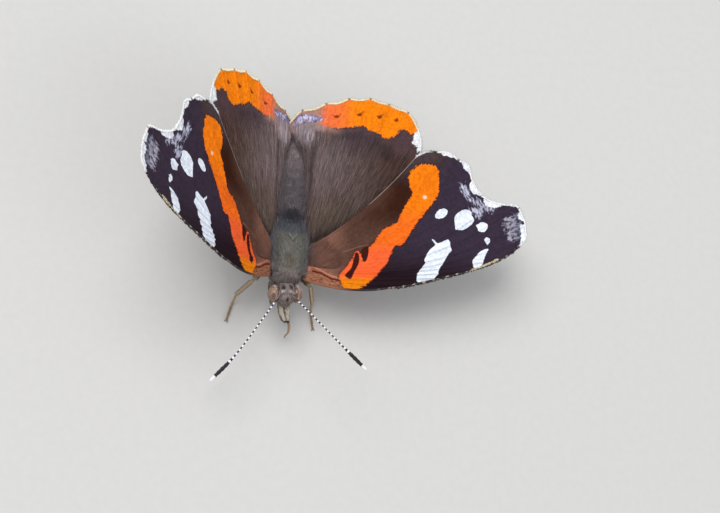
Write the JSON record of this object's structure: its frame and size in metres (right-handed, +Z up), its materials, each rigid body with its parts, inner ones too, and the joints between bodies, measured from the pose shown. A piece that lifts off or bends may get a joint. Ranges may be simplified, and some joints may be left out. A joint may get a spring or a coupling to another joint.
{
  "type": "red admiral butterfly",
  "caption": "Life-size red admiral butterfly, a still display model that stands on its legs with its wings open and its feelers spread.",
  "frame": {"origin": "middle of the whole model's box, on the floor that it stands on", "axes": "+Z up, the head points along -Y, the butterfly's own left is +X, and the span of the wings is along X"},
  "size_m": [0.0568, 0.0414, 0.0307],
  "materials": {
    "body_fur": "soft grey-brown hair over a dark body",
    "eye": "glossy brown, finely faceted",
    "palp": "pale scales and hair",
    "feeler": "black with fine white rings, pale tip",
    "proboscis": "horny brown, slightly glossy",
    "leg": "tan scales",
    "forewing": "matt scales, near black with an orange-red band and white marks",
    "hindwing": "matt scales and hair, brown with an orange-red border"
  },
  "bodies": {
    "root": {"thorax": "body_fur", "abdomen": "body_fur", "head": "body_fur", "eye_left": "eye", "eye_right": "eye", "palp_left": "palp", "palp_right": "palp", "antenna_left": "feeler", "antenna_right": "feeler", "proboscis": "proboscis", "foreleg_left": "leg", "foreleg_right": "leg", "femur_mid_left": "leg", "tibia_mid_left": "leg", "tarsus_mid_left": "leg", "femur_mid_right": "leg", "tibia_mid_right": "leg", "tarsus_mid_right": "leg", "femur_hind_left": "leg", "tibia_hind_left": "leg", "tarsus_hind_left": "leg", "femur_hind_right": "leg", "tibia_hind_right": "leg", "tarsus_hind_right": "leg", "forewing_left": "forewing", "forewing_right": "forewing", "hindwing_left": "hindwing", "hindwing_right": "hindwing"}
  },
  "joints": []
}
